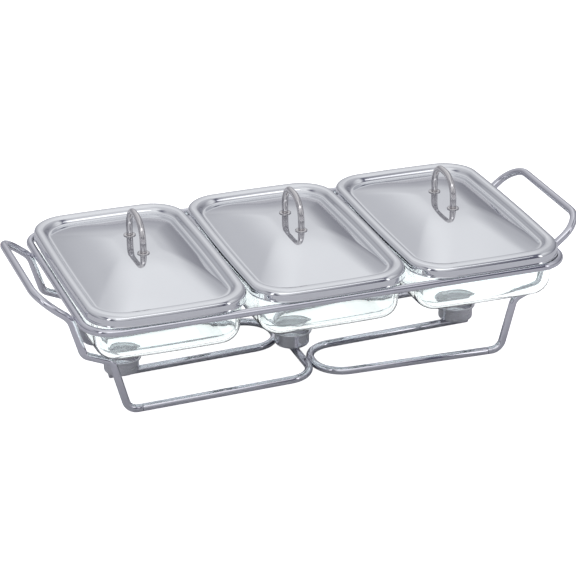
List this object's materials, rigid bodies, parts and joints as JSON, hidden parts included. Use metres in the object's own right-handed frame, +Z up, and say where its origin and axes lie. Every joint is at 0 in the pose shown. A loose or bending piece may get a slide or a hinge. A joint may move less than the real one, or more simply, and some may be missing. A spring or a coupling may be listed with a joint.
{
  "type": "buffet server",
  "caption": "Chromed wire rack with end handles that holds covered rectangular glass dishes in a row over tea-light cups on its foot wires.",
  "frame": {"origin": "on the table, under the rack's centre", "axes": "+X along the row of dishes, +Y across the rack away from the front, +Z up"},
  "size_m": [0.7008, 0.3314, 0.2162],
  "materials": {
    "rack_wire": "bright chrome plating on round steel wire",
    "cup_steel": "satin pressed stainless steel",
    "dish_glass": "clear pressed glass with a faint green tint",
    "lid_steel": "softly polished pressed stainless steel",
    "handle_wire": "polished round wire",
    "washer_steel": "polished washer",
    "nut_steel": "plain cap nut"
  },
  "bodies": {
    "rack": {"top_rail": "rack_wire", "left_leg_handle": "rack_wire", "right_leg_handle": "rack_wire", "crossing_foot_wire": "rack_wire", "left_foot_wire": "rack_wire", "right_foot_wire": "rack_wire", "left_burner_cup": "cup_steel", "centre_burner_cup": "cup_steel", "right_burner_cup": "cup_steel"},
    "left_dish_body": {"left_dish": "dish_glass"},
    "left_lid_body": {"left_lid": "lid_steel", "left_lid_handle": "handle_wire", "left_lid_washers": "washer_steel", "left_lid_nuts": "nut_steel"},
    "centre_dish_body": {"centre_dish": "dish_glass"},
    "centre_lid_body": {"centre_lid": "lid_steel", "centre_lid_handle": "handle_wire", "centre_lid_washers": "washer_steel", "centre_lid_nuts": "nut_steel"},
    "right_dish_body": {"right_dish": "dish_glass"},
    "right_lid_body": {"right_lid": "lid_steel", "right_lid_handle": "handle_wire", "right_lid_washers": "washer_steel", "right_lid_nuts": "nut_steel"}
  },
  "joints": [
    {"name": "left_dish_lift", "type": "slide", "parent": "rack", "child": "left_dish_body", "axis": [0, 0, 1], "range_m": [0, 0.14]},
    {"name": "left_lid_lift", "type": "slide", "parent": "left_dish_body", "child": "left_lid_body", "axis": [0, 0, 1], "range_m": [0, 0.16]},
    {"name": "centre_dish_lift", "type": "slide", "parent": "rack", "child": "centre_dish_body", "axis": [0, 0, 1], "range_m": [0, 0.14]},
    {"name": "centre_lid_lift", "type": "slide", "parent": "centre_dish_body", "child": "centre_lid_body", "axis": [0, 0, 1], "range_m": [0, 0.16]},
    {"name": "right_dish_lift", "type": "slide", "parent": "rack", "child": "right_dish_body", "axis": [0, 0, 1], "range_m": [0, 0.14]},
    {"name": "right_lid_lift", "type": "slide", "parent": "right_dish_body", "child": "right_lid_body", "axis": [0, 0, 1], "range_m": [0, 0.16]}
  ]
}
